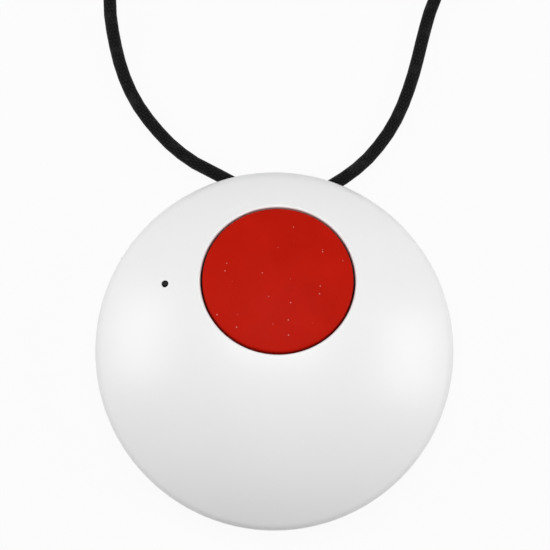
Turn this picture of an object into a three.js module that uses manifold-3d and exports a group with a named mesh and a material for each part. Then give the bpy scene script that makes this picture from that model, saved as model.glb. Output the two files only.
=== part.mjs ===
import * as THREE from 'three';
import { mergeVertices } from 'three/addons/utils/BufferGeometryUtils.js';
import Module from 'manifold-3d';

// Emergency pendant lying on its back. Millimetres, Z out of the front face,
// Y towards the neck cord, X to the right as seen from the front.

// Body
const BODY_D = 55;
const BODY_T = 18;
const RIM_Z = 5.6;
const RIM_ROUND = 3;
const RIM_LAND = 0.3;
const BACK_CURVE = 4.5;
const WALL = 1.8;

// Clearances
const GAP = 0.3;
const RECESS = 0.3;

// Push button, set square to the dome
const BUTTON_INSET = 16.4;
const BORE_D = 23.5;
const BORE_ROUND = 0.3;
const LIP_T = 1.2;
const BUTTON_T = 1.7;
const BUTTON_EDGE = 0.4;
const SEAL_W = 1.1;
const SEAL_T = 0.8;
const FLANGE_T = 0.8;
const SKIRT_T = 1.5;
const COLLAR_T = 1;
const POST_D = 3.2;
const RIB_T = 0.8;
const BUTTON_TRAVEL = 0.5;

// Status light
const LIGHT_INSET = 10.4;
const LIGHT_Y = 9.2;
const LED_H = 0.6;
const LIGHT_HOLE_D = 1.1;
const LIGHT_SKIN = 0.9;
const LIGHT_PIPE_D = 2;
const LIGHT_BOSS_T = 0.8;
const LIGHT_BOSS_DEPTH = 2.8;

// Joint between the covers
const TONGUE_T = 1.2;
const TONGUE_H = 1.7;
const GASKET_W = 1;
const GASKET_H = 0.6;

// Battery compartment
const CELL_D = 20;
const CELL_T = 3.2;
const DOOR_T = 1.2;
const DOOR_NECK_T = 1;
const DOOR_SEAL_T = 0.6;
const DOOR_SEAL_W = 0.8;
const LEDGE_T = 0.8;
const LUG_T = 0.8;
const LUG_REACH = 1;
const LUG_ANGLE = 30;
const COIN_SLOT_L = 15;
const COIN_SLOT_W = 2;
const COIN_SLOT_DEPTH = 0.6;
const LEAF_T = 0.25;
const LEAF_W = 3;
const LEAF_RISE = 1.6;

// Circuit board and what stands on it
const BOARD_CLEAR = 1.3;
const BOARD_T = 1;
const BOARD_FLAT = 3.9;
const POST_INSET = 1.4;
const SUPPORT_D = 2.4;
const SWITCH_SIZE = 6;
const SWITCH_H = 2;
const SWITCH_FLOOR = 0.7;
const SHEET_T = 0.3;
const PLUNGER_D = 3.4;
const PLUNGER_RISE = 1.2;
const COIL_D = 3.4;
const COIL_WIRE = 0.6;
const COIL_PITCH = 1.3;
const COIL_TURNS = 7;
const COIL_Y = -12.2;

// Cover screws
const SCREW_INSET = 4;
const SCREW_ANGLES = [8.5, 171.5, -55, -125];
const SCREW_HEAD_D = 3.6;
const SCREW_HEAD_H = 1.5;
const SCREW_SHANK_D = 1.8;
const SCREW_GRIP = 3.6;
const BOSS_D = 4.6;
const PILLAR_T = 1.1;
const CROSS_L = 2.2;
const CROSS_W = 0.5;
const CROSS_DEPTH = 0.8;

// Lanyard bridge and neck cord
const CORD_D = 2;
const TUNNEL_D = 3;
const TUNNEL_INSET = 3.4;
const TUNNEL_DROP = 1.2;
const BRIDGE_W = 6;
const POCKET_REACH = 12;
const POCKET_DEPTH = 6;
const POCKET_WALL = 1.7;
const POCKET_ROOF = 1;
const CORD_LIFT = 0.05;
const HANK_LIFT = 1;
const HANK_L = 52;
const HANK_W = 23;
const HANK_H = 4.3;
const HANK_X = 2;
const HANK_Y = 69;
const HANK_TURN = 2.9;
const TIE_T = 0.6;
const TIE_W = 3;
const CLASP_D = 6.4;
const CLASP_L = 7.5;
const CLASP_X = -31;
const CLASP_Y = -4.9;

// Facets round the body, the button, a fitting, a screw
const FACETS = 60;
const BUTTON_FACETS = 40;
const FINE = 32;
const SMALL = 12;

const wasm = await Module();
wasm.setup();

const DEG = Math.PI / 180;
const RIM_R = BODY_D / 2;
const BACK_FLAT_R = RIM_R - BACK_CURVE;
const BUTTON_Y = RIM_R - BUTTON_INSET;
const LIGHT_X = LIGHT_INSET - RIM_R;
const TUNNEL_Y = RIM_R - TUNNEL_INSET;
const POCKET_WALL_Y = RIM_R - POCKET_DEPTH;
const DOME_R = domeRadius(BODY_T - RIM_Z, RIM_R - RIM_ROUND, RIM_ROUND);
const DOME_Z = BODY_T - DOME_R;
const FRONT_Z = RIM_Z - RIM_LAND;
const BACK_Z = FRONT_Z - GAP;
const TILT = Math.asin(BUTTON_Y / DOME_R);
const BUTTON_Z = DOME_Z + DOME_R * Math.cos(TILT);
const BORE_R = BORE_D / 2;
const CAP_R = BORE_R - GAP;
const LIP_Z = sphereSag(DOME_R, BORE_R) - LIP_T;
const SEAL_TOP = LIP_Z - GAP;
const FLANGE_TOP = SEAL_TOP - SEAL_T - GAP;
const FLANGE_LOW = FLANGE_TOP - FLANGE_T;
const FLANGE_R = CAP_R + SEAL_W;
const COLLAR_R = FLANGE_R + GAP;
const DOOR_Z = RECESS;
const DOOR_TOP = DOOR_Z + DOOR_T;
const CELL_Z = DOOR_TOP + GAP;
const CELL_TOP = CELL_Z + CELL_T;
const NECK_IN = CELL_D / 2 + GAP;
const NECK_R = NECK_IN + DOOR_NECK_T;
const DOOR_R = NECK_R + GAP + DOOR_SEAL_W + GAP;
const LEDGE_R = NECK_R + GAP;
const DOOR_SEAL_Z = DOOR_TOP + GAP;
const LEDGE_Z = DOOR_SEAL_Z + DOOR_SEAL_T + GAP;
const LUG_Z = LEDGE_Z + LEDGE_T + GAP;
const LUG_TOP = LUG_Z + LUG_T;
const WELL_R = NECK_R + LUG_REACH + GAP;
const WELL_OUT = DOOR_R + GAP + WALL * 0.8;
const LEAF_Z = CELL_TOP + GAP;
const BOARD_Z = LEAF_Z + LEAF_RISE + GAP;
const BOARD_TOP = BOARD_Z + BOARD_T;
const TONGUE_R = RIM_R - WALL - GAP - GASKET_W - GAP;
const BOARD_R = TONGUE_R - TONGUE_T - BOARD_CLEAR;
const BOARD_FLAT_Y = BUTTON_Y + BOARD_FLAT;
const SCREW_RADIUS = BOARD_R - SCREW_INSET;
const PARTS_Z = BOARD_TOP + GAP;
const WELL_TOP = BOARD_Z - 2 * GAP - LEAF_T - GAP;
const PILLAR_TOP = BOARD_Z - GAP - 2 * GAP;
const BOSS_Z = PILLAR_TOP + GAP;
const PILLAR_R = SCREW_HEAD_D / 2 + GAP + PILLAR_T;
const PLUNGER_TOP = PARTS_Z + SWITCH_H + PLUNGER_RISE;
const TUNNEL_Z = BACK_Z - POCKET_ROOF - TUNNEL_DROP;

// Sphere that rises by rise above the centre of a rim rounding that it runs into
function domeRadius(rise, centre, round) {
  return (centre ** 2 + rise ** 2 - round ** 2) / (2 * (rise - round));
}

// Height of a sphere's surface below its crown at radius r
function sphereSag(radius, r) {
  return Math.sqrt(radius * radius - r * r) - radius;
}

function point(x, y) {
  return new THREE.Vector2(x, y);
}

function arc(cx, cy, radius, from, to, steps) {
  const points = [];
  for (let i = 0; i <= steps; i += 1) {
    const angle = (from + ((to - from) * i) / steps) * DEG;
    points.push(point(cx + radius * Math.cos(angle), cy + radius * Math.sin(angle)));
  }
  return points;
}

function lathe(points, facets) {
  return new THREE.LatheGeometry(points, facets).rotateX(Math.PI / 2);
}

function ring(inner, outer, low, high, facets) {
  const loop = [point(inner, low), point(outer, low), point(outer, high), point(inner, high)];
  return lathe([...loop, loop[0].clone()], facets);
}

function rod(radius, low, high, facets, x = 0, y = 0) {
  const body = new THREE.CylinderGeometry(radius, radius, high - low, facets);
  return body.rotateX(Math.PI / 2).translate(x, y, (low + high) / 2);
}

function block(width, depth, height, x, y, low) {
  return new THREE.BoxGeometry(width, depth, height).translate(x, y, low + height / 2);
}

function slab(shape, low, high, curve = 8) {
  const options = { depth: high - low, bevelEnabled: false, curveSegments: curve };
  return new THREE.ExtrudeGeometry(shape, options).translate(0, 0, low);
}

// From the button's own frame, crown at the origin, to its place on the dome
function onDome(geometry) {
  return geometry.rotateX(-TILT).translate(0, BUTTON_Y, BUTTON_Z);
}

function solid(geometry) {
  const bare = geometry.clone();
  bare.deleteAttribute('normal');
  bare.deleteAttribute('uv');
  const merged = mergeVertices(bare, 1e-4);
  const index = merged.index.array;
  const kept = [];
  for (let i = 0; i < index.length; i += 3) {
    const corners = [index[i], index[i + 1], index[i + 2]];
    if (new Set(corners).size === 3) kept.push(...corners);
  }
  const mesh = new wasm.Mesh({
    numProp: 3,
    vertProperties: new Float32Array(merged.attributes.position.array),
    triVerts: new Uint32Array(kept),
  });
  return new wasm.Manifold(mesh);
}

function surface(body) {
  const mesh = body.getMesh();
  const geometry = new THREE.BufferGeometry();
  geometry.setAttribute('position', new THREE.BufferAttribute(mesh.vertProperties, 3));
  geometry.setIndex(new THREE.BufferAttribute(mesh.triVerts, 1));
  geometry.computeVertexNormals();
  return geometry;
}

function join(...geometries) {
  return geometries.map(solid).reduce((sum, next) => sum.add(next));
}

function cut(body, ...geometries) {
  return geometries.map(solid).reduce((rest, next) => rest.subtract(next), body);
}

function screwSpots() {
  return SCREW_ANGLES.map((angle) => point(
    SCREW_RADIUS * Math.cos(angle * DEG),
    SCREW_RADIUS * Math.sin(angle * DEG),
  ));
}

// Dome, rounded rim and straight rim land, drawn inwards by the wall thickness
function domeProfile(inset, low, roundSteps, domeSteps) {
  const round = RIM_ROUND - inset;
  const centre = RIM_R - RIM_ROUND;
  const meet = Math.atan2(RIM_Z - DOME_Z, centre) / DEG;
  return [
    point(0, low),
    point(RIM_R - inset, low),
    ...arc(centre, RIM_Z, round, 0, meet, roundSteps),
    ...arc(0, DOME_Z, DOME_R - inset, meet, 90, domeSteps).slice(1, -1),
    point(0, BODY_T - inset),
  ];
}

function boreCutter() {
  const edge = BORE_R + BORE_ROUND;
  const centre = sphereSag(DOME_R, edge) - BORE_ROUND;
  const slope = Math.asin(edge / DOME_R) / DEG;
  const round = arc(edge, centre, BORE_ROUND, 180, 90 - slope, 3);
  return onDome(lathe([
    point(0, -3 * WALL - 6),
    point(COLLAR_R, -3 * WALL - 6),
    point(COLLAR_R, LIP_Z),
    point(BORE_R, LIP_Z),
    ...round,
    point(round[round.length - 1].x, 3),
    point(0, 3),
  ], BUTTON_FACETS));
}

function lightZ() {
  return DOME_Z + Math.sqrt(DOME_R ** 2 - LIGHT_X ** 2 - LIGHT_Y ** 2);
}

function frontCover() {
  const envelope = solid(lathe(domeProfile(0, FRONT_Z, 3, 8), FACETS));
  const hollow = lathe(domeProfile(WALL, FRONT_Z - 1, 2, 5), FACETS);
  const shell = cut(envelope, hollow);
  const bosses = screwSpots().map((p) => rod(BOSS_D / 2, BOSS_Z, BODY_T, SMALL, p.x, p.y));
  const pipeR = LIGHT_PIPE_D / 2 + GAP;
  const lightBoss = rod(
    pipeR + LIGHT_BOSS_T, lightZ() - LIGHT_BOSS_DEPTH, BODY_T, SMALL, LIGHT_X, LIGHT_Y,
  );
  const collar = onDome(rod(COLLAR_R + COLLAR_T, FLANGE_LOW, 0, BUTTON_FACETS));
  const inside = join(collar, lightBoss, ...bosses).intersect(envelope);
  const pilot = SCREW_SHANK_D / 2 + GAP;
  const pilots = screwSpots().map((p) => rod(pilot, BOSS_Z - 1, BOSS_Z + SCREW_GRIP + GAP, SMALL, p.x, p.y));
  return surface(cut(
    shell.add(inside),
    boreCutter(),
    rod(pipeR, PARTS_Z, lightZ() - LIGHT_SKIN, SMALL, LIGHT_X, LIGHT_Y),
    rod(LIGHT_HOLE_D / 2, PARTS_Z, BODY_T, SMALL, LIGHT_X, LIGHT_Y),
    ...pilots,
  ));
}

function backProfile() {
  const points = [point(0, 0)];
  for (let i = 0; i <= 5; i += 1) {
    const angle = (i / 5) * 90 * DEG;
    const r = BACK_FLAT_R + (RIM_R - BACK_FLAT_R) * Math.sin(angle);
    points.push(point(r, BACK_Z * (1 - Math.cos(angle))));
  }
  return [...points, point(0, BACK_Z)];
}

function lanyardPocket(side) {
  const near = BRIDGE_W / 2;
  const far = POCKET_REACH;
  const deep = POCKET_WALL_Y;
  const round = (far - near) * 0.3;
  const shape = new THREE.Shape();
  shape.moveTo(near, RIM_R + 4);
  shape.lineTo(near, deep + 1);
  shape.quadraticCurveTo(near, deep, near + 1, deep);
  shape.lineTo(far - round, deep);
  shape.quadraticCurveTo(far, deep, far, deep + round);
  shape.lineTo(far, RIM_R + 4);
  shape.closePath();
  const pocket = slab(shape, -1, BACK_Z - POCKET_ROOF, 4);
  if (side > 0) return pocket;
  return pocket.rotateZ(Math.PI).rotateX(Math.PI).translate(0, 0, BACK_Z - POCKET_ROOF - 1);
}

function tunnelCutter() {
  const r = TUNNEL_D / 2;
  const half = BRIDGE_W / 2;
  const flare = (TUNNEL_D - CORD_D) / 2;
  const points = [
    point(0, -half - 1), point(r + flare, -half - 1), point(r + flare, -half),
    point(r + flare * 0.3, -half + flare * 0.7), point(r, -half + 2 * flare),
    point(r, half - 2 * flare), point(r + flare * 0.3, half - flare * 0.7),
    point(r + flare, half), point(r + flare, half + 1), point(0, half + 1),
  ];
  return lathe(points, SMALL).rotateY(Math.PI / 2).translate(0, TUNNEL_Y, TUNNEL_Z);
}

function sector(inner, outer, middle, width, low, high) {
  const from = (middle - width / 2) * DEG;
  const to = (middle + width / 2) * DEG;
  const shape = new THREE.Shape();
  shape.absarc(0, 0, outer, from, to, false);
  shape.absarc(0, 0, inner, to, from, true);
  shape.closePath();
  return slab(shape, low, high, 6);
}

function batteryOpening() {
  return lathe([
    point(0, -1), point(DOOR_R + GAP, -1), point(DOOR_R + GAP, LEDGE_Z), point(LEDGE_R, LEDGE_Z),
    point(LEDGE_R, LEDGE_Z + LEDGE_T), point(WELL_R, LEDGE_Z + LEDGE_T), point(WELL_R, BODY_T),
    point(0, BODY_T),
  ], FINE);
}

function backCover() {
  const inner = TONGUE_R - TONGUE_T;
  const envelope = solid(lathe(backProfile(), FACETS));
  const cavity = lathe([
    point(0, WALL), point(inner - 1.2, WALL), point(inner, WALL + 1.2), point(inner, BODY_T),
    point(0, BODY_T),
  ], FACETS);
  const wallDepth = POCKET_DEPTH + POCKET_WALL;
  const bridge = block(
    2 * (POCKET_REACH + POCKET_WALL), wallDepth, BACK_Z + 2, 0, RIM_R - wallDepth / 2, -1,
  );
  const tongue = ring(inner, TONGUE_R, BACK_Z - 1, BACK_Z + TONGUE_H, FACETS);
  const posts = [30, 150, -90].map((angle) => rod(
    SUPPORT_D / 2, WALL / 2, BOARD_Z - GAP, SMALL,
    (BOARD_R - POST_INSET) * Math.cos(angle * DEG), (BOARD_R - POST_INSET) * Math.sin(angle * DEG),
  ));
  const pillars = screwSpots().map((p) => rod(PILLAR_R, WALL / 2, PILLAR_TOP, SMALL + 4, p.x, p.y));
  const well = rod(WELL_OUT, WALL / 2, WELL_TOP, FINE);
  const body = cut(envelope, cavity)
    .add(solid(bridge).intersect(envelope))
    .add(join(tongue, well, ...posts, ...pillars));
  const seats = screwSpots().flatMap((p) => [
    rod(SCREW_HEAD_D / 2 + GAP, -1, RECESS + SCREW_HEAD_H + GAP, SMALL + 4, p.x, p.y),
    rod(SCREW_SHANK_D / 2 + GAP, -1, BODY_T, SMALL, p.x, p.y),
  ]);
  const notches = [90, 210, 330].map((angle) => sector(
    LEDGE_R - 1, WELL_R, angle, LUG_ANGLE + 6, LEDGE_Z - 0.5, LEDGE_Z + LEDGE_T + 0.5,
  ));
  return surface(cut(
    body, batteryOpening(), ...notches, ...seats, lanyardPocket(1), lanyardPocket(-1), tunnelCutter(),
  ));
}

function coverGasket() {
  const inner = TONGUE_R + GAP;
  return ring(inner, inner + GASKET_W, BACK_Z + GAP, BACK_Z + GAP + GASKET_H, FACETS);
}

function postLow() {
  const above = PLUNGER_TOP + GAP + (POST_D / 2) * Math.sin(TILT);
  return -(BUTTON_Z - above) / Math.cos(TILT);
}

function switchY() {
  return BUTTON_Y + postLow() * Math.sin(TILT);
}

function emergencyButton() {
  const inside = DOME_R - BUTTON_T;
  const skirt = CAP_R - SKIRT_T;
  const neck = CAP_R - GAP;
  const edge = CAP_R - BUTTON_EDGE;
  const meet = Math.acos(edge / (DOME_R - BUTTON_EDGE)) / DEG;
  const under = (r) => point(r, Math.sqrt(inside * inside - r * r) - DOME_R);
  const corner = (DOME_R - BUTTON_EDGE) * Math.sin(meet * DEG) - DOME_R;
  const cap = lathe([
    point(0, postLow()), point(POST_D / 2, postLow()), under(POST_D / 2), under(skirt * 0.6),
    under(skirt), point(skirt, FLANGE_LOW), point(FLANGE_R, FLANGE_LOW), point(FLANGE_R, FLANGE_TOP),
    point(neck, FLANGE_TOP), point(neck, LIP_Z), point(CAP_R, LIP_Z),
    ...arc(edge, corner, BUTTON_EDGE, 0, meet, 3),
    ...arc(0, -DOME_R, DOME_R, meet, 90, 4).slice(1, -1),
    point(0, 0),
  ], BUTTON_FACETS);
  const ribLow = (postLow() - BUTTON_T) / 2;
  const ribs = [0, 90].map((angle) => (
    block(2 * skirt + SKIRT_T / 2, RIB_T, -BUTTON_T + 0.1 - ribLow, 0, 0, ribLow).rotateZ(angle * DEG)
  ));
  return surface(join(cap, ...ribs)).rotateX(-TILT).translate(0, BUTTON_Y, BUTTON_Z);
}

function buttonSeal() {
  return onDome(ring(CAP_R + 0.05, FLANGE_R, SEAL_TOP - SEAL_T, SEAL_TOP, BUTTON_FACETS));
}

function lightPipe() {
  const r = LIGHT_PIPE_D / 2;
  const top = lightZ() - LIGHT_SKIN - GAP;
  const low = PARTS_Z + LED_H + GAP;
  return lathe([
    point(0, low), point(r * 0.7, low), point(r, low + 0.5), point(r, top - 0.2),
    point(r - 0.2, top), point(0, top),
  ], SMALL).translate(LIGHT_X, LIGHT_Y, 0);
}

function circuitBoard() {
  const disc = rod(BOARD_R, BOARD_Z, BOARD_TOP, FACETS * 0.75);
  const reach = BOARD_R - BOARD_FLAT_Y + 1;
  const beyond = block(2 * BOARD_R, reach, 3 * BOARD_T, 0, BOARD_FLAT_Y + reach / 2, BOARD_Z - BOARD_T);
  const holes = screwSpots().map((p) => (
    rod(BOSS_D / 2 + GAP, BOARD_Z - 1, BOARD_TOP + 1, SMALL + 4, p.x, p.y)
  ));
  return surface(cut(solid(disc), beyond, ...holes));
}

function switchBase() {
  const y = switchY();
  const leg = (x, side) => block(0.7, 1.4, SHEET_T, x, y + side * (SWITCH_SIZE / 2 + 0.5), PARTS_Z);
  const body = join(
    block(SWITCH_SIZE, SWITCH_SIZE, SWITCH_H, 0, y, PARTS_Z),
    leg(-2.2, 1), leg(2.2, 1), leg(-2.2, -1), leg(2.2, -1),
  );
  return surface(cut(body, rod(PLUNGER_D / 2 + GAP, PARTS_Z + SWITCH_FLOOR, BODY_T, 20, 0, y)));
}

function switchFrame() {
  const y = switchY();
  const low = PARTS_Z + SWITCH_H + GAP;
  const plate = solid(block(SWITCH_SIZE, SWITCH_SIZE, SHEET_T, 0, y, low));
  return surface(cut(plate, rod(PLUNGER_D / 2 + GAP, low - 1, BODY_T, 20, 0, y)));
}

function switchPlunger() {
  const r = PLUNGER_D / 2;
  const low = PARTS_Z + SWITCH_FLOOR + BUTTON_TRAVEL + GAP;
  return lathe([
    point(0, low), point(r, low), point(r, PLUNGER_TOP - 0.25), point(r - 0.25, PLUNGER_TOP),
    point(0, PLUNGER_TOP),
  ], 24).translate(0, switchY(), 0);
}

// Flat chip with a chamfered top edge
function chip(width, depth, height, x, y, turn = 0) {
  const low = block(width, depth, height * 0.7, 0, 0, 0);
  const high = block(width - 0.3, depth - 0.3, height, 0, 0, 0);
  return surface(join(low, high)).rotateZ(turn * DEG).translate(x, y, PARTS_Z);
}

// Small ceramic part with raised end caps
function terminalPart(length, width, height, x, y, turn) {
  const body = block(length, width, height, 0, 0, 0.05);
  const cap = (side) => block(
    length * 0.24, width + 0.1, height + 0.1, side * length * 0.42, 0, 0,
  );
  return surface(join(body, cap(-1), cap(1))).rotateZ(turn * DEG).translate(x, y, PARTS_Z);
}

function statusLight() {
  const body = join(
    block(1.7, 0.9, 0.25, LIGHT_X, LIGHT_Y, PARTS_Z),
    block(1.1, 0.8, LED_H, LIGHT_X, LIGHT_Y, PARTS_Z),
  );
  return surface(body);
}

function tube(curve, radius, sides, steps) {
  const shape = new THREE.Shape(arc(0, 0, radius, 0, 360 - 360 / sides, sides - 1));
  return new THREE.ExtrudeGeometry(shape, { steps, extrudePath: curve, bevelEnabled: false });
}

// Wound copper aerial lying across the board, both ends turned down to it
function antennaCoil() {
  const r = (COIL_D - COIL_WIRE) / 2;
  const height = PARTS_Z + COIL_WIRE / 2 + r + 0.1;
  const length = COIL_TURNS * COIL_PITCH;
  const points = [new THREE.Vector3(-length / 2 - 1.2, r, PARTS_Z)];
  points.push(new THREE.Vector3(-length / 2 - 1, r, height - 0.8));
  const count = COIL_TURNS * 8;
  for (let i = 0; i <= count; i += 1) {
    const angle = (i / 8) * 2 * Math.PI;
    const x = -length / 2 + (length * i) / count;
    points.push(new THREE.Vector3(x, r * Math.cos(angle), height + r * Math.sin(angle)));
  }
  points.push(new THREE.Vector3(length / 2 + 1, r, height - 0.8));
  points.push(new THREE.Vector3(length / 2 + 1.2, r, PARTS_Z));
  const path = new THREE.CatmullRomCurve3(points);
  return tube(path, COIL_WIRE / 2, 5, COIL_TURNS * 8 + 4).translate(0, COIL_Y, 0);
}

// Sheet strip drawn from its upper line in the XZ plane
function strip(line, width) {
  const lower = line.map(([x, z]) => point(x, z - LEAF_T)).reverse();
  const shape = new THREE.Shape([...line.map(([x, z]) => point(x, z)), ...lower]);
  return slab(shape, -width / 2, width / 2).rotateX(Math.PI / 2);
}

function negativeContact() {
  const top = BOARD_Z - GAP;
  const touch = LEAF_Z + LEAF_T;
  return strip([
    [-9, top], [-6, top], [-1, touch + 0.2], [0, touch], [1, touch], [2, touch + 0.2], [3.4, touch + 0.6],
  ], LEAF_W);
}

function positiveContact() {
  const top = BOARD_Z - GAP;
  const touch = LEAF_Z + LEAF_T;
  const rim = CELL_D / 2;
  return strip([
    [rim - 1.2, touch + 0.5], [rim - 0.8, touch], [rim - 0.3, touch], [rim + 0.8, top], [rim + 4, top],
  ], LEAF_W).rotateZ(-35 * DEG);
}

function coinCell() {
  const r = CELL_D / 2;
  return lathe([
    point(0, CELL_Z), point(r - 0.3, CELL_Z), point(r, CELL_Z + 0.3), point(r, CELL_TOP - 0.45),
    point(r - 0.35, CELL_TOP - 0.2), point(r - 1.1, CELL_TOP - 0.2), point(r - 1.2, CELL_TOP),
    point(0, CELL_TOP),
  ], FINE);
}

function batteryDoor() {
  const plate = lathe([
    point(0, DOOR_Z), point(DOOR_R - 0.3, DOOR_Z), point(DOOR_R, DOOR_Z + 0.3),
    point(DOOR_R, DOOR_TOP), point(NECK_R, DOOR_TOP), point(NECK_R, LUG_TOP),
    point(NECK_IN, LUG_TOP), point(NECK_IN, DOOR_TOP), point(0, DOOR_TOP),
  ], FINE);
  const lugs = [135, 255, 15].map((angle) => sector(
    NECK_R - 0.4, NECK_R + LUG_REACH, angle, LUG_ANGLE, LUG_Z, LUG_TOP,
  ));
  const slot = block(COIN_SLOT_L, COIN_SLOT_W, COIN_SLOT_DEPTH + 1, 0, 0, DOOR_Z - 1);
  return surface(cut(join(plate, ...lugs), slot));
}

function batteryDoorSeal() {
  const inner = NECK_R + GAP;
  return ring(inner, inner + DOOR_SEAL_W, DOOR_SEAL_Z, DOOR_SEAL_Z + DOOR_SEAL_T, FINE);
}

function coverScrew(spot) {
  const head = SCREW_HEAD_D / 2;
  const shank = SCREW_SHANK_D / 2;
  const seat = RECESS + SCREW_HEAD_H;
  const tip = BOSS_Z + SCREW_GRIP;
  const body = lathe([
    point(0, RECESS), point(head - 0.4, RECESS), point(head, RECESS + 0.4), point(head, seat),
    point(shank, seat), point(shank, tip - 0.6), point(shank * 0.4, tip), point(0, tip),
  ], SMALL);
  const cross = [0, 90].map((angle) => (
    block(CROSS_L, CROSS_W, CROSS_DEPTH + 1, 0, 0, RECESS - 1).rotateZ(angle * DEG)
  ));
  return surface(cut(solid(body), ...cross)).translate(spot.x, spot.y, 0);
}

function cordLow() {
  return CORD_D / 2 + CORD_LIFT;
}

// Place in the hank's own frame, long side along X, to the table beside the pendant
function hankSpot(x, y, z) {
  const turned = new THREE.Vector3(x, y, z).applyAxisAngle(new THREE.Vector3(0, 0, 1), HANK_TURN * DEG);
  return turned.add(new THREE.Vector3(HANK_X, HANK_Y, 0));
}

function toHank(geometry) {
  return geometry.rotateZ(HANK_TURN * DEG).translate(HANK_X, HANK_Y, 0);
}

// The cord outside the hank: through the clasp, down to the bridge and back up
function neckCord() {
  const low = cordLow();
  const axis = CLASP_D / 2 + CORD_LIFT;
  const run = HANK_LIFT + CORD_D / 2 + CORD_LIFT;
  const spots = [
    hankSpot(-20.9, 10.9, run), hankSpot(-24.8, 10, run + 0.2), hankSpot(-28.7, 7.2, axis - 0.4),
    hankSpot(CLASP_X, CLASP_Y + CLASP_L, axis), hankSpot(CLASP_X, CLASP_Y, axis),
    hankSpot(CLASP_X, CLASP_Y - CLASP_L, axis), [-28, 50.4, low + 1.1], [-26.8, 45.2, low + 0.3],
    [-24.8, 40, low], [-20.7, 34.2, low], [-14.5, 29, low + 0.1], [-8.4, 26.1, low + 0.9],
    [-4, TUNNEL_Y + 0.3, TUNNEL_Z - 0.1], [0, TUNNEL_Y, TUNNEL_Z], [4, TUNNEL_Y + 0.3, TUNNEL_Z - 0.1],
    [8.4, 26.7, low + 0.9], [12.7, 30.4, low + 0.1], [16.5, 35.9, low], [18.8, 42, low], [20.3, 48.8, low],
    hankSpot(18.4, -15.8, low + 0.1), hankSpot(20.4, -11.8, low + 0.9),
  ];
  const points = spots.map((s) => (Array.isArray(s) ? new THREE.Vector3(...s) : s));
  return tube(new THREE.CatmullRomCurve3(points), CORD_D / 2, 8, 36);
}

// The rest of the loop, gathered in one hank
function cordHank() {
  const r = HANK_W / 2;
  const run = HANK_L / 2 - r;
  const shape = new THREE.Shape();
  shape.absarc(run, 0, r, -Math.PI / 2, Math.PI / 2, false);
  shape.absarc(-run, 0, r, Math.PI / 2, (3 * Math.PI) / 2, false);
  shape.closePath();
  return toHank(slab(shape, HANK_LIFT, HANK_LIFT + HANK_H, 8));
}

function cordTie() {
  const hole = 2 * GAP;
  const wall = hole + 2 * TIE_T;
  const outer = block(TIE_W, HANK_W + wall, HANK_H + wall, 0, 0, HANK_LIFT - GAP - TIE_T);
  const inner = block(TIE_W + 1, HANK_W + hole, HANK_H + hole, 0, 0, HANK_LIFT - GAP);
  return toHank(surface(cut(solid(outer), inner)));
}

function claspHalf(side) {
  const r = CLASP_D / 2;
  const bore = CORD_D / 2 + GAP;
  const joint = GAP / 2;
  const body = lathe([
    point(bore, joint), point(r - 0.5, joint), point(r, joint + 0.6), point(r, CLASP_L - 2),
    point(r - 1.2, CLASP_L), point(bore, CLASP_L), point(bore, joint),
  ], SMALL);
  return toHank(body.rotateX((-side * Math.PI) / 2).translate(CLASP_X, CLASP_Y, r + CORD_LIFT));
}

function finish(name, color, roughness, metalness = 0) {
  return new THREE.MeshStandardMaterial({ name, color, roughness, metalness });
}

const group = new THREE.Group();
group.name = 'emergency_pendant';

function add(name, geometry, material) {
  const mesh = new THREE.Mesh(geometry, material);
  mesh.name = name;
  group.add(mesh);
}

add('front_cover', frontCover(), finish('white_shell', 0xf1f2f1, 0.3));
add('back_cover', backCover(), finish('white_back', 0xeeefee, 0.4));
add('cover_gasket', coverGasket(), finish('grey_silicone', 0x55585a, 0.8));
add('emergency_button', emergencyButton(), finish('red_button', 0xb51c12, 0.45));
add('button_seal', buttonSeal(), finish('black_silicone', 0x101010, 0.85));
add('light_pipe', lightPipe(), finish('smoked_light_pipe', 0x17171a, 0.2));
add('circuit_board', circuitBoard(), finish('green_laminate', 0x1d5a38, 0.5));
add('switch_base', switchBase(), finish('switch_plastic', 0x17181a, 0.6));
add('switch_frame', switchFrame(), finish('switch_steel', 0xb9bcc0, 0.35, 1));
add('switch_plunger', switchPlunger(), finish('plunger_plastic', 0x202124, 0.55));
add('controller_chip', chip(5, 5, 0.9, -10.5, -3.5), finish('controller_package', 0x1a1b1d, 0.6));
add('radio_chip', chip(4, 4, 0.9, 3.5, -3.5, 45), finish('radio_package', 0x1c1d1f, 0.6));
add('crystal', chip(3.2, 2.5, 0.8, -3.6, -3.8), finish('crystal_can', 0xc9ccd0, 0.3, 1));
add('status_led', statusLight(), finish('led_package', 0xe9e6d2, 0.4));
add('antenna_coil', antennaCoil(), finish('copper_wire', 0xb56a35, 0.35, 1));
add('capacitor_1', terminalPart(1.6, 0.8, 0.8, -14.6, -1.2, 90), finish('ceramic_1', 0xa98a63, 0.5));
add('capacitor_2', terminalPart(1.6, 0.8, 0.8, 7.6, -2.2, 0), finish('ceramic_2', 0xa98a63, 0.5));
add('capacitor_3', terminalPart(2, 1.2, 1.1, 10.4, -5.4, 90), finish('ceramic_3', 0xa98a63, 0.5));
add('capacitor_4', terminalPart(2, 1.2, 1.1, 13.2, -5.4, 90), finish('ceramic_4', 0xa98a63, 0.5));
add('resistor_1', terminalPart(1.6, 0.8, 0.5, -15.6, 6.6, 60), finish('resistor_1', 0x202024, 0.5));
add('resistor_2', terminalPart(1.6, 0.8, 0.5, 6.4, 6.2, 90), finish('resistor_2', 0x202024, 0.5));
add('resistor_3', terminalPart(1.6, 0.8, 0.5, -6.4, 6.2, 90), finish('resistor_3', 0x202024, 0.5));
add('battery_contact_negative', negativeContact(), finish('negative_leaf', 0xc2b58a, 0.35, 1));
add('battery_contact_positive', positiveContact(), finish('positive_leaf', 0xc2b58a, 0.35, 1));
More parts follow.
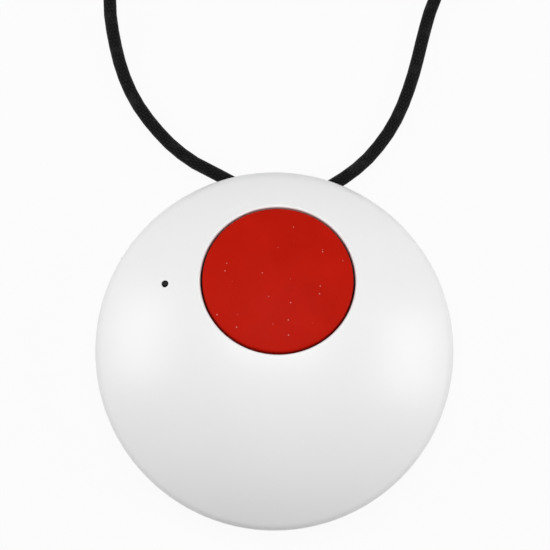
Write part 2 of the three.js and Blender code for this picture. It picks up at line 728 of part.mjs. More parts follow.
add('coin_cell', coinCell(), finish('cell_steel', 0xbfc2c5, 0.3, 1));
add('battery_door', batteryDoor(), finish('door_plastic', 0xe9eae9, 0.45));
add('battery_door_seal', batteryDoorSeal(), finish('door_silicone', 0x303234, 0.8));
screwSpots().forEach((spot, i) => {
  add(`cover_screw_${i + 1}`, coverScrew(spot), finish(`screw_steel_${i + 1}`, 0xa9acb0, 0.35, 1));
});
add('neck_cord', neckCord(), finish('cord_satin', 0x0c0c0d, 0.75));
add('cord_hank', cordHank(), finish('hank_satin', 0x0c0c0d, 0.75));
add('cord_tie', cordTie(), finish('tie_plastic', 0x161617, 0.6));
add('clasp_socket', claspHalf(-1), finish('clasp_socket_plastic', 0x121213, 0.5));
add('clasp_plug', claspHalf(1), finish('clasp_plug_plastic', 0x121213, 0.5));

export default group;
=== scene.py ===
import math

import bmesh
import bpy
from mathutils import Matrix, Vector


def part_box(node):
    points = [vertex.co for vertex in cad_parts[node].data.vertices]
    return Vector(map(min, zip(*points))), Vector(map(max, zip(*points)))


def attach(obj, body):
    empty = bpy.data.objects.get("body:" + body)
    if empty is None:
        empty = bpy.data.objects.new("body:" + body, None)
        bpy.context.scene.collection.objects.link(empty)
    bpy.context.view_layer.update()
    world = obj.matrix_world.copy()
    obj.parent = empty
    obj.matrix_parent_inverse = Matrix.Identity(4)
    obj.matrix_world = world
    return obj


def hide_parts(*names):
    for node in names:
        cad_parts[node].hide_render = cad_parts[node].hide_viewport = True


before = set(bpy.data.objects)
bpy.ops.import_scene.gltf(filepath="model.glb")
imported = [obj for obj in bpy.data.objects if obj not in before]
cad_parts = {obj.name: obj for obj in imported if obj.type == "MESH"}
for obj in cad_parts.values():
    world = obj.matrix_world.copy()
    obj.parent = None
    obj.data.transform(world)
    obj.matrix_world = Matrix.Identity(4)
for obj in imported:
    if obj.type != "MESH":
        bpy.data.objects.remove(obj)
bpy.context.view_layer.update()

MM = 0.001

# Driving sizes, the same as the solids have
RIM_R = 27.5 * MM
BODY_T = 18 * MM
RIM_Z = 5.6 * MM
RIM_ROUND = 3 * MM
RIM_LAND = 0.3 * MM
BACK_CURVE = 4.5 * MM
WALL = 1.8 * MM
GAP = 0.3 * MM
BUTTON_Y = 11.1 * MM
BORE_R = 11.75 * MM
BORE_ROUND = 0.3 * MM
LIP_T = 1.2 * MM
BUTTON_T = 1.7 * MM
BUTTON_EDGE = 0.4 * MM
SKIRT_T = 1.5 * MM
SEAL_W = 1.1 * MM
SEAL_T = 0.8 * MM
FLANGE_T = 0.8 * MM
COLLAR_T = 1 * MM
POST_R = 1.6 * MM
PLUNGER_TOP = 11.7 * MM
RIB_T = 0.8 * MM
LIGHT_AT = Vector((-17.1, 9.2, 0)) * MM
LIGHT_HOLE_R = 0.55 * MM
LIGHT_SKIN = 0.9 * MM
LIGHT_PIPE_R = 1 * MM
CORD_R = 1 * MM
CORD_LIFT = 0.05 * MM
TUNNEL_Y = 24.1 * MM
SCREW_HOLE_R = 1.2 * MM
FUSE_Z = 0.9 * MM

# Worked out from them
DOME_RISE = BODY_T - RIM_Z
RIM_CENTRE = RIM_R - RIM_ROUND
DOME_R = (RIM_CENTRE ** 2 + DOME_RISE ** 2 - RIM_ROUND ** 2) / (2 * (DOME_RISE - RIM_ROUND))
DOME_Z = BODY_T - DOME_R
FRONT_Z = RIM_Z - RIM_LAND
BACK_Z = FRONT_Z - GAP
TILT = math.asin(BUTTON_Y / DOME_R)
BUTTON_AT = Vector((0, BUTTON_Y, DOME_Z + DOME_R * math.cos(TILT)))
CAP_R = BORE_R - GAP
TUNNEL_Z = BACK_Z - 2.2 * MM

# The photograph: what it is centred on, how far it turns and leans, and how wide it sees at the rim
VIEW_CENTRE = Vector((-0.5, 11.7, 0)) * MM
VIEW_TURN = math.radians(2.94)
VIEW_LEAN = math.radians(2.4)
VIEW_WIDTH = 84.54 * MM
CAMERA_HEIGHT = 600 * MM

# Corners closer than this are one, and faces that meet at more than this many degrees have a sharp edge
TOUCH = 1e-7
CUT_EDGE = 32


def sag(radius, r):
    """Height of a sphere's surface below its crown at radius r."""
    return math.sqrt(radius * radius - r * r) - radius


LIP_Z = sag(DOME_R, BORE_R) - LIP_T
SEAL_TOP = LIP_Z - GAP
FLANGE_TOP = SEAL_TOP - SEAL_T - GAP
FLANGE_LOW = FLANGE_TOP - FLANGE_T
FLANGE_R = CAP_R + SEAL_W
ON_DOME = Matrix.Translation(BUTTON_AT) @ Matrix.Rotation(-TILT, 4, "X")


# Camera

def camera_over_photo():
    camera = bpy.data.objects.new("camera", bpy.data.cameras.new("camera"))
    bpy.context.scene.collection.objects.link(camera)
    camera.data.sensor_width = 36
    camera.data.lens = 36 * CAMERA_HEIGHT / VIEW_WIDTH
    camera.data.clip_start = 0.01
    turn = Matrix.Rotation(VIEW_TURN, 4, "Z") @ Matrix.Rotation(VIEW_LEAN, 4, "X")
    target = VIEW_CENTRE + Vector((0, 0, RIM_Z))
    camera.location = target + turn @ Vector((0, 0, CAMERA_HEIGHT))
    camera.rotation_euler = turn.to_euler()
    bpy.context.scene.camera = camera


camera_over_photo()


# Mesh helpers

def new_piece(name, bm, smooth_below=30):
    """Makes the finished bmesh a piece, smooth but for edges sharper than the angle."""
    mesh = bpy.data.meshes.new(name)
    bm.to_mesh(mesh)
    bm.free()
    piece = bpy.data.objects.new(name, mesh)
    bpy.context.scene.collection.objects.link(piece)
    shade(piece, smooth_below)
    return piece


def shade(piece, smooth_below=30):
    mesh = piece.data
    mesh.polygons.foreach_set("use_smooth", [True] * len(mesh.polygons))
    mesh.set_sharp_from_angle(angle=math.radians(smooth_below))


def turned(profile, steps, closed=False):
    """A lathe body about Z from (radius, height) points that end on the axis or close on themselves."""
    bm = bmesh.new()
    verts = [bm.verts.new((r, 0, z)) for r, z in profile]
    for a, b in zip(verts, verts[1:]):
        bm.edges.new((a, b))
    if closed:
        bm.edges.new((verts[-1], verts[0]))
    bmesh.ops.spin(
        bm, geom=bm.verts[:] + bm.edges[:], cent=(0, 0, 0), axis=(0, 0, 1),
        angle=2 * math.pi, steps=steps, use_merge=True,
    )
    bmesh.ops.remove_doubles(bm, verts=bm.verts, dist=TOUCH)
    bmesh.ops.dissolve_degenerate(bm, dist=0.1 * TOUCH, edges=bm.edges)
    bmesh.ops.recalc_face_normals(bm, faces=bm.faces)
    return bm


def arc(cx, cz, radius, start, end, steps):
    """Points on an arc in the (radius, height) plane, angles in degrees."""
    points = []
    for i in range(steps + 1):
        angle = math.radians(start + (end - start) * i / steps)
        points.append((cx + radius * math.cos(angle), cz + radius * math.sin(angle)))
    return points


def rod(radius, low, high, x=0, y=0, steps=32):
    bm = turned([(0, low), (radius, low), (radius, high), (0, high)], steps)
    bmesh.ops.translate(bm, vec=(x, y, 0), verts=bm.verts)
    return bm


def block(size, centre=(0, 0, 0)):
    bm = bmesh.new()
    bmesh.ops.create_cube(bm, size=1)
    bmesh.ops.scale(bm, vec=size, verts=bm.verts)
    bmesh.ops.translate(bm, vec=centre, verts=bm.verts)
    return bm


def rounded(bm, edges, radius, segments):
    """Rounds the given edges of a bmesh."""
    bmesh.ops.bevel(
        bm, geom=edges, offset=radius, segments=segments, profile=0.5, affect="EDGES", material=-1,
    )


def mesh_of(piece):
    bm = bmesh.new()
    bm.from_mesh(piece.data)
    return bm


def boolean(piece, tool, operation="DIFFERENCE"):
    """Cuts or joins a bmesh tool into the piece, for good."""
    other = new_piece("tool", tool)
    modifier = piece.modifiers.new("tool", "BOOLEAN")
    modifier.object = other
    modifier.operation = operation
    modifier.solver = "EXACT"
    graph = bpy.context.evaluated_depsgraph_get()
    mesh = bpy.data.meshes.new_from_object(piece.evaluated_get(graph))
    piece.modifiers.remove(modifier)
    old = piece.data
    piece.data = mesh
    bpy.data.meshes.remove(old)
    bpy.data.objects.remove(other)


# Material helpers

class Finish:
    """A material's node tree, with short calls for the nodes the finishes here use."""

    def __init__(self, name, roughness=0.5, metallic=0.0, gloss=0.5):
        self.material = bpy.data.materials.new(name)
        self.material.use_nodes = True
        self.nodes = self.material.node_tree.nodes
        self.links = self.material.node_tree.links
        self.shader = self.nodes["Principled BSDF"]
        self.shader.inputs["Roughness"].default_value = roughness
        self.shader.inputs["Metallic"].default_value = metallic
        self.shader.inputs["Specular IOR Level"].default_value = gloss
        self.place = self.nodes.new("ShaderNodeTexCoord").outputs["Object"]

    def link(self, source, target):
        self.links.new(source, target)

    def noise(self, scale, detail=3.0, roughness=0.5, vector=None):
        node = self.nodes.new("ShaderNodeTexNoise")
        node.inputs["Scale"].default_value = scale
        node.inputs["Detail"].default_value = detail
        node.inputs["Roughness"].default_value = roughness
        self.link(vector or self.place, node.inputs["Vector"])
        return node.outputs["Fac"]

    def stretched(self, scale):
        node = self.nodes.new("ShaderNodeMapping")
        node.inputs["Scale"].default_value = scale
        self.link(self.place, node.inputs["Vector"])
        return node.outputs["Vector"]

    def ramp(self, fac, stops):
        node = self.nodes.new("ShaderNodeValToRGB")
        elements = node.color_ramp.elements
        while len(elements) < len(stops):
            elements.new(0.5)
        for element, (position, color) in zip(elements, stops):
            element.position = position
            element.color = (*color, 1)
        self.link(fac, node.inputs["Fac"])
        return node.outputs["Color"]

    def span(self, value, low, high, out_low, out_high):
        node = self.nodes.new("ShaderNodeMapRange")
        limits = {"From Min": low, "From Max": high, "To Min": out_low, "To Max": out_high}
        for name, limit in limits.items():
            node.inputs[name].default_value = limit
        self.link(value, node.inputs["Value"])
        return node.outputs["Result"]

    def math(self, operation, a, b=None):
        node = self.nodes.new("ShaderNodeMath")
        node.operation = operation
        for socket, value in zip(node.inputs, (a, b)):
            if value is None:
                continue
            if isinstance(value, (int, float)):
                socket.default_value = value
            else:
                self.link(value, socket)
        return node.outputs["Value"]

    def mix(self, fac, a, b):
        node = self.nodes.new("ShaderNodeMix")
        node.data_type = "RGBA"
        self.link(fac, node.inputs["Factor"])
        for socket, value in ((node.inputs[6], a), (node.inputs[7], b)):
            if isinstance(value, tuple):
                socket.default_value = (*value, 1)
            else:
                self.link(value, socket)
        return node.outputs[2]

    def color(self, value):
        self.link(value, self.shader.inputs["Base Color"])

    def roughness(self, value):
        self.link(value, self.shader.inputs["Roughness"])

    def bump(self, height, strength, distance):
        node = self.nodes.new("ShaderNodeBump")
        node.inputs["Strength"].default_value = strength
        node.inputs["Distance"].default_value = distance
        self.link(height, node.inputs["Height"])
        self.link(node.outputs["Normal"], self.shader.inputs["Normal"])

    def mottle(self, scale, detail, dark, light, low=0.3, high=0.7):
        """Colour that drifts between two tones."""
        self.color(self.ramp(self.noise(scale, detail), [(low, dark), (high, light)]))

    def drift(self, scale, low, high, detail=2):
        """Roughness that drifts between two values."""
        self.roughness(self.span(self.noise(scale, detail), 0.3, 0.7, low, high))

    def grain(self, scale, strength, distance, detail=2):
        self.bump(self.noise(scale, detail), strength, distance)


# Finishes

def moulded_white(name, base, roughness, grain):
    """White plastic: a faint cloudiness in the colour, a fine moulded grain in the gloss."""
    finish = Finish(name, roughness)
    finish.mottle(60, 4, tuple(0.988 * c for c in base), base, 0.35, 0.65)
    finish.drift(900, roughness - 0.02, roughness + 0.03)
    finish.grain(2600, grain, 0.01 * MM)
    return finish.material


def button_red():
    """Satin red plastic with a few pale specks of dust."""
    finish = Finish("satin_red_plastic", 0.5, gloss=0.03)
    body = finish.ramp(finish.noise(180, 3), [(0.35, (0.47, 0.0085, 0.0026)), (0.7, (0.51, 0.01, 0.0031))])
    cells = finish.nodes.new("ShaderNodeTexVoronoi")
    cells.inputs["Scale"].default_value = 900
    cells.inputs["Randomness"].default_value = 1.0
    finish.link(finish.place, cells.inputs["Vector"])
    near = finish.span(cells.outputs["Distance"], 0.06, 0.12, 1, 0)
    split = finish.nodes.new("ShaderNodeSeparateColor")
    finish.link(cells.outputs["Color"], split.inputs["Color"])
    chosen = finish.span(split.outputs["Red"], 0.62, 0.66, 0, 1)
    speck = finish.math("MULTIPLY", finish.math("MULTIPLY", near, chosen), 0.5)
    finish.color(finish.mix(speck, body, (0.75, 0.42, 0.36)))
    finish.drift(700, 0.45, 0.55)
    finish.grain(3200, 0.12, 0.03 * MM)
    return finish.material


def silicone(name, base):
    finish = Finish(name, 0.7)
    finish.mottle(700, 3, tuple(0.7 * c for c in base), base)
    finish.grain(4000, 0.2, 0.03 * MM)
    return finish.material


def smoked_plastic():
    """Dark light guide, a little paler in the middle and darker towards the rim of its hole, the rim's
    darkness painted shade.
    """
    pale_r, dark_r = 0.1 * MM, 0.5 * MM
    finish = Finish("smoked_light_pipe", 0.25, gloss=0.05)
    offset = finish.nodes.new("ShaderNodeVectorMath")
    offset.operation = "SUBTRACT"
    finish.link(finish.place, offset.inputs[0])
    offset.inputs[1].default_value = LIGHT_AT
    split = finish.nodes.new("ShaderNodeSeparateXYZ")
    finish.link(offset.outputs["Vector"], split.inputs["Vector"])
    flat = finish.nodes.new("ShaderNodeCombineXYZ")
    finish.link(split.outputs["X"], flat.inputs["X"])
    finish.link(split.outputs["Y"], flat.inputs["Y"])
    length = finish.nodes.new("ShaderNodeVectorMath")
    length.operation = "LENGTH"
    finish.link(flat.outputs["Vector"], length.inputs[0])
    # Painted shade: the guide darkens from its middle out towards the rim of the hole.
    rim = finish.span(length.outputs["Value"], pale_r, dark_r, 0, 1)
    finish.color(finish.ramp(rim, [(0.0, (0.016, 0.016, 0.017)), (0.8, (0.002, 0.002, 0.0022))]))
    finish.grain(3000, 0.1, 0.02 * MM)
    return finish.material


def cord_braid(length):
    """Fine round braid: crossing yarns wound both ways, each with its filaments."""
    pitch, yarns, filaments = 2.2 * MM, 6, 5
    finish = Finish("black_satin_braid", 0.55, gloss=0.06)
    finish.shader.inputs["Sheen Weight"].default_value = 0.01
    finish.shader.inputs["Sheen Roughness"].default_value = 0.5
    uv = finish.nodes.new("ShaderNodeUVMap").outputs["UV"]
    split = finish.nodes.new("ShaderNodeSeparateXYZ")
    finish.link(uv, split.inputs["Vector"])
    along = finish.math("MULTIPLY", split.outputs["X"], length / pitch)
    around = finish.math("MULTIPLY", split.outputs["Y"], yarns)
    right = finish.math("ADD", around, along)
    left = finish.math("SUBTRACT", around, along)
    turn = 2 * math.pi
    wave_right = finish.math("SINE", finish.math("MULTIPLY", right, turn))
    wave_left = finish.math("SINE", finish.math("MULTIPLY", left, turn))
    over = finish.math("GREATER_THAN", finish.math("MULTIPLY", wave_right, wave_left), 0)
    yarn = finish.math("MULTIPLY", wave_right, wave_left)
    fibres_right = finish.math("SINE", finish.math("MULTIPLY", right, filaments * turn))
    fibres_left = finish.math("SINE", finish.math("MULTIPLY", left, filaments * turn))
    fibres = finish.math(
        "ADD", finish.math("MULTIPLY", fibres_right, over),
        finish.math("MULTIPLY", fibres_left, finish.math("SUBTRACT", 1, over)),
    )
    height = finish.math("ADD", finish.math("ABSOLUTE", yarn), finish.math("MULTIPLY", fibres, 0.18))
    # The colour follows the height: the yarns' crowns are painted lighter as sheen, and the grooves between
    # them darker as painted shade.
    braid = finish.ramp(
        finish.span(height, 0, 1.1, 0, 1),
        [(0.0, (0.001, 0.001, 0.0011)), (0.55, (0.003, 0.003, 0.0031)), (1.0, (0.018, 0.0185, 0.0185))],
    )
    # Lighter patches at random along the cord: a random variation in tone, and a painted sheen.
    tone_and_sheen_patches = finish.span(finish.noise(520, 4, 0.65), 0.5, 0.72, 0, 0.5)
    finish.color(finish.mix(tone_and_sheen_patches, braid, (0.03, 0.03, 0.031)))
    finish.drift(1500, 0.42, 0.58)
    finish.bump(height, 0.8, 0.12 * MM)
    return finish.material


def hard_black(name, base=0.012, roughness=0.4):
    finish = Finish(name, roughness, gloss=0.2)
    finish.mottle(400, 3, (0.8 * base,) * 3, (base, base, 1.05 * base))
    finish.drift(1500, roughness - 0.05, roughness + 0.08)
    finish.grain(2500, 0.15, 0.02 * MM)
    return finish.material


# Neck cord

HANK_AT = Vector((2, 69, 0)) * MM
HANK_TURN = Matrix.Rotation(math.radians(2.9), 4, "Z")
HANK_RUN = 14.5 * MM
HANK_COLUMNS = [10.5 * MM, 8.5 * MM, 6.5 * MM]
HANK_LAYERS = [2.07 * MM, 4.12 * MM]
HANK_RUN_STEPS = 12
HANK_END_STEPS = 12
HANK_LAST_ARC = 115
TIE_SIZE = (3 * MM, 24.8 * MM)
TIE_WALL = 0.6 * MM
CLASP_X = -31 * MM
CLASP_Y = -4.9 * MM
CLASP_L = 7.5 * MM
CLASP_R = 3.2 * MM


def hank_spot(x, y, z):
    """From the hank's own frame, long side along X, to the table beside the pendant."""
    return HANK_TURN @ Vector((x, y, z)) + HANK_AT


def left_strand():
    """From the middle of the lanyard bridge to the clasp and on to the hank."""
    low = CORD_R + CORD_LIFT
    axis = CLASP_R + CORD_LIFT
    seen = [
        (0.15, 24.1, TUNNEL_Z), (-2, 24.15, TUNNEL_Z), (-4, 24.4, TUNNEL_Z - 0.1 * MM),
        (-6.2, 25.05, low + 1.3 * MM), (-8.4, 26.1, low + 0.9 * MM), (-11.4, 27.5, low + 0.4 * MM),
        (-14.5, 29, low + 0.1 * MM), (-17.8, 31.35, low), (-20.7, 34.2, low), (-22.95, 36.95, low),
        (-24.8, 40, low), (-25.9, 42.6, low + 0.1 * MM), (-26.8, 45.2, low + 0.3 * MM),
        (-28, 50.4, low + 1.1 * MM),
    ]
    points = [Vector((x * MM, y * MM, z)) for x, y, z in seen]
    clasp = [
        (CLASP_X, CLASP_Y - CLASP_L, axis), (CLASP_X, CLASP_Y, axis), (CLASP_X, CLASP_Y + CLASP_L, axis),
        (-28.7 * MM, 7.2 * MM, axis - 0.4 * MM), (-24.8 * MM, 10 * MM, 2.3 * MM),
        (-20.9 * MM, 10.9 * MM, HANK_LAYERS[0]),
    ]
    return points + [hank_spot(*spot) for spot in clasp]


def eased(share):
    """0 to 1 with a smooth start and end, and held outside."""
    return 0.5 - 0.5 * math.cos(math.pi * min(max(share, 0), 1))


def hank_turns():
    """Turns lie side by side on the first layer, inwards, then outwards again on the second.

    Each turn moves to the next lane along its lower run: outward turns first, then the climb, then
    inward turns, so that no two cross."""
    lanes = [(radius, HANK_LAYERS[0]) for radius in HANK_COLUMNS]
    lanes += [(radius, HANK_LAYERS[1]) for radius in reversed(HANK_COLUMNS)]
    points = []
    for i, (radius, z) in enumerate(lanes):
        last = i == len(lanes) - 1
        points += [(x * HANK_RUN, radius, z) for x in (-1, -0.4, 0.3, 1)]
        stop = HANK_LAST_ARC if last else 180
        for k in range(1, HANK_END_STEPS + 1):
            angle = math.radians(90 - stop * k / HANK_END_STEPS)
            points.append((HANK_RUN + radius * math.cos(angle), radius * math.sin(angle), z))
        if last:
            break
        wide, high = lanes[i + 1]
        if wide > radius:
            first = HANK_RUN
        elif high > z:
            first = HANK_RUN / 3
        else:
            first = -HANK_RUN / 3
        for k in range(1, HANK_RUN_STEPS + 1):
            x = HANK_RUN - 2 * HANK_RUN * k / HANK_RUN_STEPS
            share = eased((first - x) / (2 * HANK_RUN / 3))
            points.append((x, -(radius + (wide - radius) * share), z + (high - z) * share))
        for k in range(1, HANK_END_STEPS):
            angle = math.radians(-90 - 180 * k / HANK_END_STEPS)
            points.append((-HANK_RUN + wide * math.cos(angle), wide * math.sin(angle), high))
    return [hank_spot(*point) for point in points]


def right_strand():
    """From the hank back to the middle of the lanyard bridge."""
    low = CORD_R + CORD_LIFT
    off = [
        (22.1 * MM, -8.2 * MM, 3.3 * MM), (20.4 * MM, -11.8 * MM, low + 1 * MM),
        (18.7 * MM, -15.8 * MM, low),
    ]
    seen = [
        (20.3, 48.8, low), (19.65, 45.4, low), (18.8, 42, low), (17.8, 38.9, low), (16.5, 35.9, low),
        (14.8, 33.1, low), (12.7, 30.4, low + 0.1 * MM), (10.6, 28.4, low + 0.4 * MM),
        (8.4, 26.7, low + 0.9 * MM), (6.2, 25.3, low + 1.3 * MM), (4, 24.45, TUNNEL_Z - 0.1 * MM),
        (2, 24.15, TUNNEL_Z), (0.25, 24.1, TUNNEL_Z),
    ]
    return [hank_spot(*spot) for spot in off] + [Vector((x * MM, y * MM, z)) for x, y, z in seen]


def evenly(points, step):
    """Points at even steps along a smooth line through the given ones."""
    ends = [2 * points[0] - points[1]] + points + [2 * points[-1] - points[-2]]
    cuts = 24
    fine = []
    for a, b, c, d in zip(ends, ends[1:], ends[2:], ends[3:]):
        for k in range(cuts):
            t = k / cuts
            fine.append(0.5 * (
                2 * b + (c - a) * t + (2 * a - 5 * b + 4 * c - d) * t * t
                + (3 * b - a - 3 * c + d) * t * t * t
            ))
    fine.append(points[-1])
    lengths = [0.0]
    for a, b in zip(fine, fine[1:]):
        lengths.append(lengths[-1] + (b - a).length)
    count = round(lengths[-1] / step)
    even = []
    i = 0
    for k in range(count + 1):
        target = lengths[-1] * k / count
        while i < len(fine) - 2 and lengths[i + 1] < target:
            i += 1
        share = (target - lengths[i]) / max(lengths[i + 1] - lengths[i], 1e-9)
        even.append(fine[i].lerp(fine[i + 1], share))
    return even, lengths[-1]


def neck_cord():
    route, length = evenly(left_strand() + hank_turns() + right_strand(), 2.5 * MM)
    curve = bpy.data.curves.new("neck_cord_braid", "CURVE")
    curve.dimensions = "3D"
    spline = curve.splines.new("POLY")
    spline.points.add(len(route) - 1)
    for point, spot in zip(spline.points, route):
        point.co = (*spot, 1)
    spline.use_smooth = True
    curve.bevel_depth = CORD_R
    curve.bevel_resolution = 6
    curve.use_fill_caps = True
    piece = bpy.data.objects.new("neck_cord_braid", curve)
    bpy.context.scene.collection.objects.link(piece)
    curve.materials.append(cord_braid(length))
    return piece, length


def clasp_half(name, side):
    """Turned half of the breakaway clasp, with a waist and three grip rings."""
    bore = CORD_R + 0.15 * MM
    joint, collar_end, first_ring, pitch = 0.15 * MM, 1.5 * MM, 1.9, 1.1
    crest, groove = CLASP_R - 0.1 * MM, CLASP_R - 0.42 * MM
    rings = []
    for k in range(3):
        start = (first_ring + pitch * k) * MM
        rings += [(crest, start), (groove, start + 0.2 * MM)]
        rings += [(groove, start + 0.6 * MM), (crest, start + 0.8 * MM)]
    profile = [
        (bore, joint), (CLASP_R - 0.4 * MM, joint), (crest, joint + 0.1 * MM),
        (CLASP_R, joint + 0.4 * MM), (CLASP_R, collar_end), *rings,
        *arc(CLASP_R - 1.9 * MM, CLASP_L - 1.9 * MM, 1.8 * MM, 0, 75, 6),
        (bore + 0.2 * MM, CLASP_L), (bore, CLASP_L - 0.2 * MM),
    ]
    bm = turned(profile, 72, closed=True)
    place = (
        Matrix.Translation(HANK_AT) @ HANK_TURN
        @ Matrix.Translation((CLASP_X, CLASP_Y, CLASP_R + CORD_LIFT))
        @ Matrix.Rotation(-side * math.pi / 2, 4, "X")
    )
    bmesh.ops.transform(bm, matrix=place, verts=bm.verts)
    return new_piece(name, bm)


def cord_tie():
    """Flat band round the hank, its corners rounded."""
    low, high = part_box("cord_tie")
    (wide, deep), tall = TIE_SIZE, high[2] - low[2]
    bm = block((wide, deep, tall))
    ends = [face for face in bm.faces if abs(face.normal.x) > 0.9]
    bmesh.ops.inset_region(bm, faces=ends, thickness=TIE_WALL, use_even_offset=True)
    inner = [face for face in bm.faces if abs(face.normal.x) > 0.9 and face.calc_area() < 0.9 * deep * tall]
    inner = sorted(inner, key=lambda face: face.calc_area())[-2:]
    bmesh.ops.bridge_loops(bm, edges=[edge for face in inner for edge in face.edges])
    bmesh.ops.delete(bm, geom=inner, context="FACES")
    long_edges = [edge for edge in bm.edges if abs((edge.verts[0].co - edge.verts[1].co).x) > 0.9 * wide]
    rounded(bm, long_edges, 0.55 * MM, 5)
    bmesh.ops.recalc_face_normals(bm, faces=bm.faces)
    middle = HANK_AT + Vector((0, 0, (low[2] + high[2]) / 2))
    bmesh.ops.transform(bm, matrix=Matrix.Translation(middle) @ HANK_TURN, verts=bm.verts)
    return new_piece("cord_tie_band", bm)


cord, cord_length = neck_cord()
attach(cord, "housing")
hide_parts("neck_cord", "cord_hank")

clasp_black = hard_black("clasp_black_plastic")
socket = clasp_half("clasp_socket_half", -1)
plug = clasp_half("clasp_plug_half", 1)
tie = cord_tie()
for piece, node in ((socket, "clasp_socket"), (plug, "clasp_plug"), (tie, "cord_tie")):
    piece.data.materials.append(clasp_black)
    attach(piece, "housing")
    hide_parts(node)


# Front cover

def dome_profile(inset, low, round_steps, dome_steps):
    """Dome, rounded rim and rim land from the rim up to the crown, drawn in by the inset."""
    radius = RIM_ROUND - inset
    meet = math.degrees(math.atan2(RIM_Z - DOME_Z, RIM_CENTRE))
    return [
        (RIM_R - inset, low),
        *arc(RIM_CENTRE, RIM_Z, radius, 0, meet, round_steps),
        *arc(0, DOME_Z, DOME_R - inset, meet, 90, dome_steps)[1:-1],
        (0, BODY_T - inset),
    ]


def dome_height(x, y):
    return DOME_Z + math.sqrt(DOME_R ** 2 - x * x - y * y)


def bore_tool():
    """The button's bore with its rounded edge, and the collar's inside below the lip."""
    low, high = -12 * MM, 3 * MM
    edge = BORE_R + BORE_ROUND
    centre = sag(DOME_R, edge) - BORE_ROUND
    slope = math.degrees(math.asin(edge / DOME_R))
    mouth = arc(edge, centre, BORE_ROUND, 180, 90 - slope, 6)
    collar = FLANGE_R + GAP
    profile = [(0, low), (collar, low), (collar, LIP_Z), (BORE_R, LIP_Z), *mouth]
    profile += [(mouth[-1][0], high), (0, high)]
    bm = turned(profile, 160)
    bmesh.ops.transform(bm, matrix=ON_DOME, verts=bm.verts)
    return bm


def bore_collar():
    """Solid round the bore that guides the button's flange."""
    radius = FLANGE_R + GAP + COLLAR_T
    bm = rod(radius, FLANGE_LOW, 0, steps=96)
    bmesh.ops.transform(bm, matrix=ON_DOME, verts=bm.verts)
    return bm


def ring_spots(radius, angles):
    """Places on a circle about the body's axis, angles in degrees from +X."""
    return [(radius * math.cos(at), radius * math.sin(at)) for at in map(math.radians, angles)]


def screw_spots():
    return ring_spots(17.6 * MM, (8.5, 171.5, -55, -125))


def front_cover():
    """Domed shell with the bore's collar, light boss and screw bosses inside it."""
    boss_r, boss_low = 2.3 * MM, 6.6 * MM
    light_boss_wall, light_boss_deep = 0.8 * MM, 2.8 * MM
    outer = dome_profile(0, FRONT_Z, 16, 56)
    inner = dome_profile(WALL, FRONT_Z, 8, 40)
    shell = new_piece("front_cover_shell", turned(outer + inner[::-1], 240, closed=True))
    middle = dome_profile(WALL * 0.6, FRONT_Z, 6, 40)
    core = new_piece("core", turned([(0, FRONT_Z)] + middle, 120))
    x, y, _ = LIGHT_AT
    surface = dome_height(x, y)
    pipe_hole_r = LIGHT_PIPE_R + GAP
    bosses = [bore_collar(), rod(pipe_hole_r + light_boss_wall, surface - light_boss_deep, BODY_T, x, y)]
    bosses += [rod(boss_r, boss_low, BODY_T, px, py) for px, py in screw_spots()]
    for boss in bosses:
        filling = new_piece("filling", boss)
        boolean(filling, mesh_of(core), "INTERSECT")
        boolean(shell, mesh_of(filling), "UNION")
        bpy.data.objects.remove(filling)
    bpy.data.objects.remove(core)
    boolean(shell, bore_tool())
    boolean(shell, rod(pipe_hole_r, 8.5 * MM, surface - LIGHT_SKIN, x, y))
    boolean(shell, light_hole_tool(x, y))
    for px, py in screw_spots():
        boolean(shell, rod(SCREW_HOLE_R, 5.6 * MM, 10.5 * MM, px, py))
    shade(shell, CUT_EDGE)
    return shell


def light_hole_tool(x, y):
    """Small hole over the light guide with an eased mouth, square to the dome."""
    ease, low, high = 0.06 * MM, -3 * MM, 1 * MM
    edge = LIGHT_HOLE_R + ease
    profile = [(0, low), (LIGHT_HOLE_R, low), (LIGHT_HOLE_R, -ease)]
    profile += arc(edge, -ease, ease, 180, 92, 4)[1:]
    profile += [(edge, high), (0, high)]
    bm = turned(profile, 48)
    lean = Vector((x, y, dome_height(x, y) - DOME_Z)).normalized()
    turn = Vector((0, 0, 1)).rotation_difference(lean).to_matrix().to_4x4()
    place = Matrix.Translation((x, y, dome_height(x, y))) @ turn
    bmesh.ops.transform(bm, matrix=place, verts=bm.verts)
    return bm


# Back cover

def flank(curve, steps):
    """The curved flank from the edge of the flat up to the rim, a quarter of an ellipse."""
    flat = RIM_R - BACK_CURVE
    angles = [math.radians(90 * k / steps) for k in range(steps + 1)]
    return [(flat + curve * math.sin(angle), BACK_Z * (1 - math.cos(angle))) for angle in angles]


def back_profile():
    """Flat, flank, rim, the upstand inside the front cover, and the floor inside."""
    upstand_r, upstand_top, ease = 24.1 * MM, 6.7 * MM, 0.2 * MM
    inner, floor_round = 22.9 * MM, 1.2 * MM
    floor_z = WALL + floor_round
    return [
        (0, 0), *flank(BACK_CURVE, 16), (upstand_r, BACK_Z), (upstand_r, upstand_top - ease),
        (upstand_r - ease, upstand_top), (inner, upstand_top), (inner, floor_z),
        *arc(inner - floor_round, floor_z, floor_round, 0, -90, 6)[1:], (0, WALL),
    ]


def lanyard_bridge():
    """Block behind the top rim, cut to a little inside the back's outline."""
    wide, deep, tall, middle_z = 27.4 * MM, 7.7 * MM, 12 * MM, 2 * MM
    tuck, lift = 0.3 * MM, 0.2 * MM
    envelope = [(0, 0), *flank(BACK_CURVE - tuck, 12), (0, BACK_Z)]
    bridge = new_piece("bridge", turned([(r, max(z, lift)) for r, z in envelope], 180))
    boolean(bridge, block((wide, deep, tall), (0, RIM_R - deep / 2, middle_z)), "INTERSECT")
    return bridge


